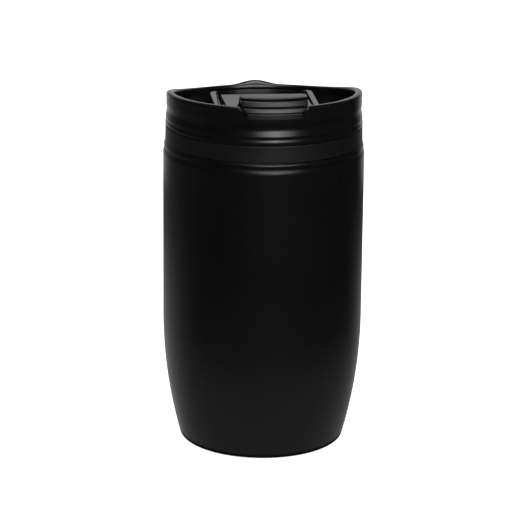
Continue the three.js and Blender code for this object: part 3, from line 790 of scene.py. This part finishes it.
floor_mesh = bpy.data.meshes.new("floor")
side = 6.0
corners = [(-side, -side, 0), (side, -side, 0), (side, side, 0), (-side, side, 0)]
floor_mesh.from_pydata(corners, [], [(0, 1, 2, 3)])
floor = bpy.data.objects.new("floor", floor_mesh)
scene.collection.objects.link(floor)
table, table_tree, table_shader = blank("lit_white_table", Roughness=0.9, Emission_Strength=0.86)
table_shader.inputs["Base Color"].default_value = linear("#b4b4b4")
table_shader.inputs["Emission Color"].default_value = linear("#ffffff")
floor_mesh.materials.append(table)
floor.visible_glossy = False

world = bpy.data.worlds.new("studio")
scene.world = world
world.use_nodes = True
sky = world.node_tree
seen = add(sky, "ShaderNodeLightPath")
sky.nodes["Background"].inputs["Color"].default_value = (1, 1, 1, 1)
bright = add(sky, "ShaderNodeMath", {"operation": "MAXIMUM"},
             _0=seen.outputs["Is Camera Ray"], _1=seen.outputs["Is Diffuse Ray"])
strength = add(sky, "ShaderNodeMapRange", {"To Min": 0.03, "To Max": 1.0}, Value=bright.outputs[0])
sky.links.new(strength.outputs["Result"], sky.nodes["Background"].inputs["Strength"])

# %% [markdown]
# The sweep and the glow are sheets that only reflections see. Both carry their brightness as a
# number at each point, so it can fade round the sides, where a black edge is wanted.

# %% Sweep behind
SWEEP_START, SWEEP_FAR, SWEEP_HIGH = 0.036, 1.5, 1.3
SWEEP_BEND = 0.5
SWEEP_LIFT = 0.001
FAR_FROM, FAR_SPAN = 0.42, 0.25
SWEEP_MIDDLE = math.radians(177)
GLOW_AT = [-62, -46, -36, -23, -8, 8, 23, 36, 46, 64, 97, 110, 124, 140]
GLOW = [0.0, 0.05, 0.45, 0.85, 0.95, 0.95, 0.85, 0.55, 0.3, 0.2, 0.18, 0.12, 0.07, 0.0]
GLOW_FAR = [0.0, 0.03, 0.3, 0.6, 0.66, 0.66, 0.5, 0.25, 0.1, 0.03, 0.02, 0.0, 0.0, 0.0]


def card(name, r, z, azimuth, glow):
    """A glowing sheet seen only in reflections: rows have radius r and height z, columns are the
    azimuth a from the front, x = r sin a, y = -r cos a, and glow is the radiance at each point."""
    across, along = r[:, None] * np.sin(azimuth), -r[:, None] * np.cos(azimuth)
    grid = np.stack([across, along, z[:, None] + 0 * azimuth], -1)
    rows, columns = grid.shape[:2]
    index = np.arange(rows * columns).reshape(rows, columns)
    quads = np.stack([index[:-1, :-1], index[:-1, 1:], index[1:, 1:], index[1:, :-1]], -1).reshape(-1, 4)
    mesh = bpy.data.meshes.new(name)
    mesh.from_pydata(grid.reshape(-1, 3).tolist(), [], quads.tolist())
    level = mesh.attributes.new("glow", "FLOAT", "POINT")
    level.data.foreach_set("value", glow.ravel().astype(np.float32))
    sheet = bpy.data.objects.new(name, mesh)
    scene.collection.objects.link(sheet)
    for ray in ("visible_camera", "visible_diffuse", "visible_shadow", "visible_transmission"):
        setattr(sheet, ray, False)
    white = bpy.data.materials.new(name)
    white.use_nodes = True
    white.cycles.emission_sampling = "NONE"
    tree = white.node_tree
    tree.nodes.clear()
    read = add(tree, "ShaderNodeAttribute", {"attribute_name": "glow"})
    light = add(tree, "ShaderNodeEmission", (), Strength=read.outputs["Fac"])
    add(tree, "ShaderNodeOutputMaterial", (), Surface=light.outputs[0])
    mesh.materials.append(white)
    return sheet


q = np.linspace(0, np.pi / 2, 10)[1:]
flat = np.geomspace(SWEEP_START, SWEEP_FAR - SWEEP_BEND, 12)
sweep_r = np.concatenate([flat, SWEEP_FAR - SWEEP_BEND * (1 - np.sin(q)), [SWEEP_FAR]])
sweep_z = np.concatenate([0 * flat, SWEEP_BEND * (1 - np.cos(q)), [SWEEP_HIGH]]) + SWEEP_LIFT
offset = np.linspace(GLOW_AT[0], GLOW_AT[-1], 102)
far = smooth((sweep_r - FAR_FROM) / FAR_SPAN)[:, None]
sweep_glow = (1 - far) * np.interp(offset, GLOW_AT, GLOW) + far * np.interp(offset, GLOW_AT, GLOW_FAR)
card("white_sweep", sweep_r, sweep_z, SWEEP_MIDDLE + np.radians(offset), sweep_glow)

# %% Lit table round the foot
RING_LIFT = 0.0015
ring_r = np.linspace(SWEEP_START, 0.45, 36)
ring_turn = np.linspace(0, 2 * np.pi, 73)
ring_glow = np.interp(ring_r, [0.036, 0.09, 0.15, 0.22, 0.3], [0.3, 0.25, 0.12, 0.03, 0.0])
back_glow = np.interp(ring_r, [0.036, 0.09, 0.15, 0.25, 0.45], [0.24, 0.2, 0.35, 0.3, 0.0])
behind = smooth((np.cos(ring_turn - math.radians(192)) + 0.2) / 1.2)
foot_glow = ring_glow[:, None] + back_glow[:, None] * behind
card("lit_foot_ring", ring_r, np.full(36, RING_LIFT), ring_turn, foot_glow)

# %% Soft boxes
LAMP_AIM = 0.145


def soft_box(name, azimuth, elevation, distance, width, height, radiance):
    """Centre = aim + d (cos e sin a, -cos e cos a, sin e), azimuth from the front towards +X.
    A round white area lamp of radiance L has power pi * area * L, area = pi / 4 * w * h."""
    aim = Vector((0, 0, LAMP_AIM))
    a, e = math.radians(azimuth), math.radians(elevation)
    away = Vector((math.cos(e) * math.sin(a), -math.cos(e) * math.cos(a), math.sin(e)))
    data = bpy.data.lights.new(name, "AREA")
    data.shape = "ELLIPSE"
    data.size, data.size_y = width, height
    data.energy = math.pi * (math.pi / 4 * width * height) * radiance
    lamp = bpy.data.objects.new(name, data)
    lamp.location = aim + away * distance
    lamp.rotation_euler = away.to_track_quat("Z", "Y").to_euler()
    lamp.visible_camera = False
    scene.collection.objects.link(lamp)
    return lamp


soft_box("front_box", 8, 25, 1.5, 1.4, 1.25, 4.4)
soft_box("front_bulb", 7, 7, 1.5, 0.05, 0.05, 60)
soft_box("top_box", 0, 88, 1.5, 1.1, 1.0, 4.0)

# %% Camera
CAMERA_AZIMUTH = -6.0
CAMERA_OUT = 1.0351
CAMERA_UP = 0.3834
CAMERA_PITCH = 16.587
CAMERA_TURN = 0.081
CAMERA_ROLL = 0.603
FOCAL_PX = 2523.0
FRAME_PX = 532.0
SENSOR_MM = 36.0
camera_data = bpy.data.cameras.new("camera")
camera_data.sensor_width = SENSOR_MM
camera_data.lens = FOCAL_PX / FRAME_PX * SENSOR_MM
camera_data.clip_end = 50.0
camera = bpy.data.objects.new("camera", camera_data)
scene.collection.objects.link(camera)
azimuth = math.radians(CAMERA_AZIMUTH)
heading = azimuth - math.radians(CAMERA_TURN)
pitch, roll = math.radians(CAMERA_PITCH), math.radians(CAMERA_ROLL)
ahead = Vector((-math.sin(heading) * math.cos(pitch), math.cos(heading) * math.cos(pitch), -math.sin(pitch)))
right = ahead.cross(Vector((0, 0, 1))).normalized()
up = right.cross(ahead)
tilted_up = up * math.cos(roll) - right * math.sin(roll)
tilted_right = right * math.cos(roll) + up * math.sin(roll)
placed = Matrix((tilted_right, tilted_up, -ahead)).transposed().to_4x4()
placed.translation = Vector((CAMERA_OUT * math.sin(azimuth), -CAMERA_OUT * math.cos(azimuth), CAMERA_UP))
camera.matrix_world = placed
scene.camera = camera
print("camera at", [round(c, 3) for c in placed.translation], "lens", round(camera_data.lens, 1))
